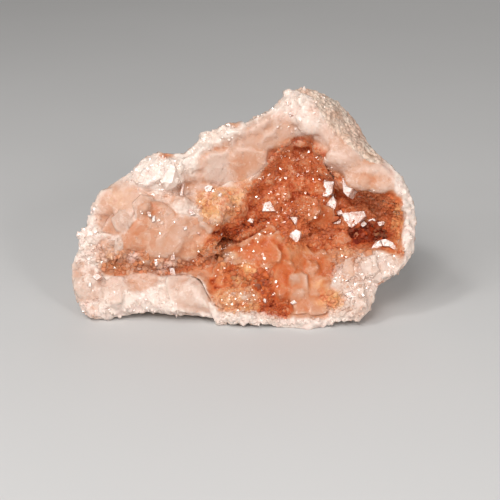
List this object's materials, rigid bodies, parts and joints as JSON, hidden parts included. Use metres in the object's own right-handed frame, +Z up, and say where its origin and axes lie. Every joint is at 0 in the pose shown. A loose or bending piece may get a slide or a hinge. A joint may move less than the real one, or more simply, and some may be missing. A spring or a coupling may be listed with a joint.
{
  "type": "pink amethyst geode specimen",
  "caption": "Broken piece of pink amethyst geode standing on its lower edge, with a pale rind and a hollow lined with quartz masses and crystals.",
  "frame": {"origin": "centre of the bounding box's underside, on the surface that the stone stands on", "axes": "+X along the stone's length, to the right as one looks into the hollow; +Z up; the hollow faces -Y and leans back"},
  "size_m": [0.0794, 0.0426, 0.0504],
  "materials": {
    "pale_quartz": "milky cream to pale pink quartz with a granular, speckled rind outside",
    "rose_quartz": "translucent pink to iron-stained orange quartz, crystal faces glossy"
  },
  "bodies": {
    "root": {"geode_wall": "pale_quartz", "crystal_crust": "rose_quartz"}
  },
  "joints": []
}
